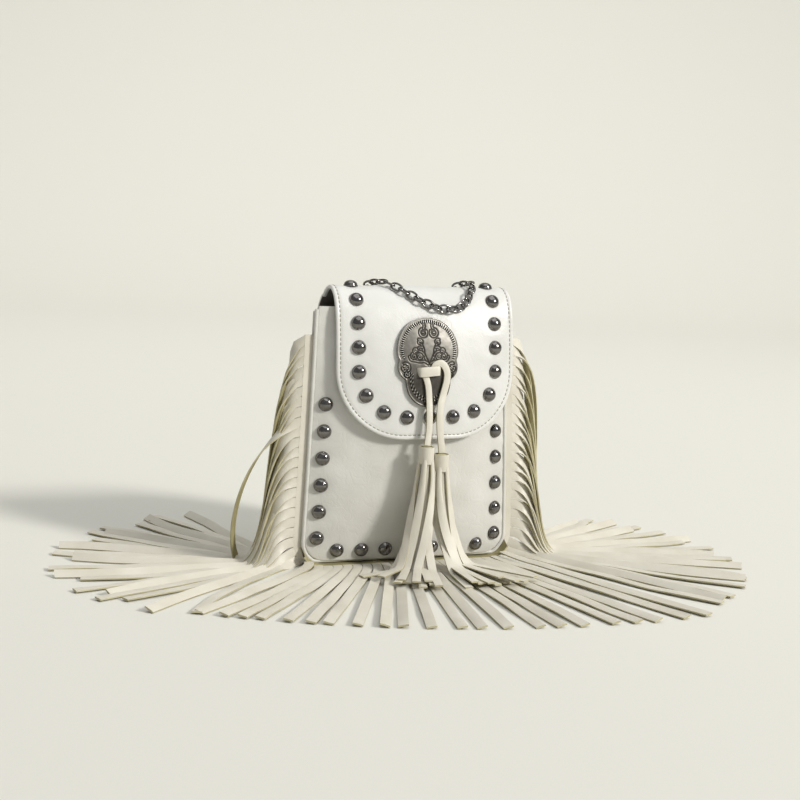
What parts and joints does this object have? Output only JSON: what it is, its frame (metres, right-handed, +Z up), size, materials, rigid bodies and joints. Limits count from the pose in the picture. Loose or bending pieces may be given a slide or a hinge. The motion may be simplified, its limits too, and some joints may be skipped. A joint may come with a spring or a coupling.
{
  "type": "fringed flap bag",
  "caption": "Small upright flap bag in pale smooth leather with dome rivets, a cast ornamental plate with tassels, a chain strap and long cut fringe sewn into the front seam",
  "frame": {"origin": "middle of the bag's base, on the surface it stands on", "axes": "+X to the bag's left as worn on the chest, which is the viewer's right when facing the flap; -Y out of the front; +Z up"},
  "size_m": [0.4652, 0.3329, 0.1877],
  "materials": {
    "pouch_leather": "smooth off-white imitation leather, semi-gloss",
    "flap_leather": "smooth off-white imitation leather, semi-gloss",
    "fringe_leather": "cut strips of off-white imitation leather",
    "dark_metal": "polished dark gunmetal plating",
    "antique_silver": "cast zinc alloy, antique silver plating with darkened recesses"
  },
  "bodies": {
    "pouch": {"back_panel": "pouch_leather", "front_panel": "pouch_leather", "gusset": "pouch_leather", "front_piping": "pouch_leather", "ring_tab_left": "pouch_leather", "ring_tab_right": "pouch_leather", "fringe_left": "fringe_leather", "fringe_right": "fringe_leather", "fringe_bottom": "fringe_leather", "body_rivet_01": "dark_metal", "body_rivet_02": "dark_metal", "body_rivet_03": "dark_metal", "body_rivet_04": "dark_metal", "body_rivet_05": "dark_metal", "body_rivet_06": "dark_metal", "body_rivet_07": "dark_metal", "body_rivet_08": "dark_metal", "body_rivet_09": "dark_metal", "body_rivet_10": "dark_metal", "body_rivet_11": "dark_metal", "body_rivet_12": "dark_metal", "body_rivet_13": "dark_metal", "body_rivet_14": "dark_metal", "body_rivet_15": "dark_metal", "body_rivet_16": "dark_metal", "body_rivet_17": "dark_metal", "body_rivet_18": "dark_metal", "body_rivet_19": "dark_metal", "snap_female": "dark_metal", "chain_back_left": "dark_metal", "chain_back_right": "dark_metal"},
    "flap_assembly": {"flap": "flap_leather", "flap_rivet_01": "dark_metal", "flap_rivet_02": "dark_metal", "flap_rivet_03": "dark_metal", "flap_rivet_04": "dark_metal", "flap_rivet_05": "dark_metal", "flap_rivet_06": "dark_metal", "flap_rivet_07": "dark_metal", "flap_rivet_08": "dark_metal", "flap_rivet_09": "dark_metal", "flap_rivet_10": "dark_metal", "flap_rivet_11": "dark_metal", "flap_rivet_12": "dark_metal", "flap_rivet_13": "dark_metal", "flap_rivet_14": "dark_metal", "flap_rivet_15": "dark_metal", "flap_rivet_16": "dark_metal", "flap_rivet_17": "dark_metal", "concho": "antique_silver", "concho_lace": "fringe_leather", "tassel_left": "fringe_leather", "tassel_right": "fringe_leather", "tassel_wrap_left": "fringe_leather", "tassel_wrap_right": "fringe_leather", "snap_male": "dark_metal", "chain_front": "dark_metal", "chain_over_left": "dark_metal", "chain_over_right": "dark_metal"}
  },
  "joints": [
    {"name": "flap_hinge", "type": "hinge", "parent": "pouch", "child": "flap_assembly", "pos_m": [0, 0.006, 0.1759], "axis": [-1, 0, 0], "range_deg": [0, 140], "deforming": ["chain_over_left", "chain_over_right"]}
  ]
}
